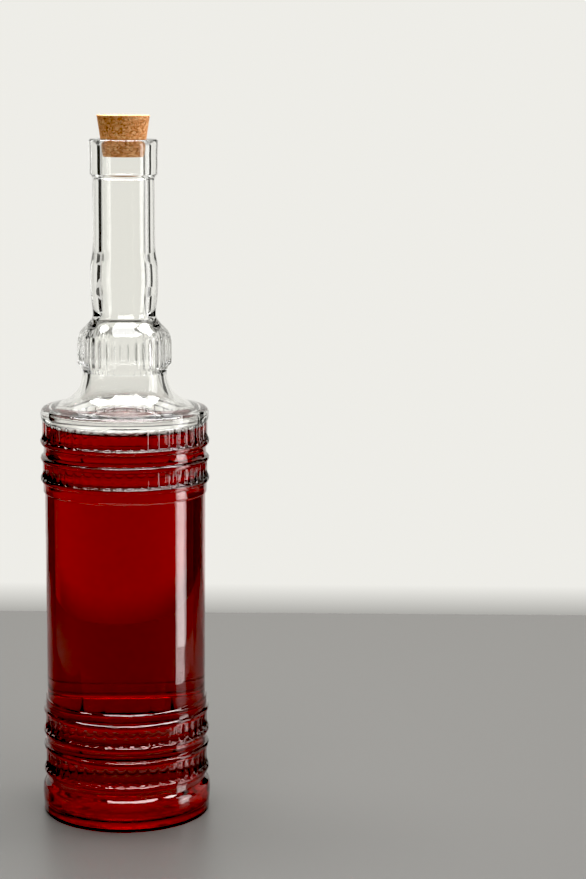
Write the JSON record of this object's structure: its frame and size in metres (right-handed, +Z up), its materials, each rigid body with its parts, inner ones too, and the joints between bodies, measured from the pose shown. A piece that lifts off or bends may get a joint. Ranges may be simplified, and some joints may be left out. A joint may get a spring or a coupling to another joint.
{
  "type": "decorative glass bottle of wine",
  "caption": "Corked clear glass bottle of red wine, with beaded and fluted bands round its tall body, a plain label panel and a fluted collar on its long neck.",
  "frame": {"origin": "on the table, under the middle of the bottle", "axes": "+Z up along the bottle's axis, front towards -Y"},
  "size_m": [0.0782, 0.0782, 0.3202],
  "materials": {
    "clear_glass": "clear, fire-polished",
    "red_wine": "clear dark red liquid",
    "cork": "agglomerated cork, matt"
  },
  "bodies": {
    "root": {"glass_bottle": "clear_glass", "wine": "red_wine", "cork": "cork"}
  },
  "joints": []
}
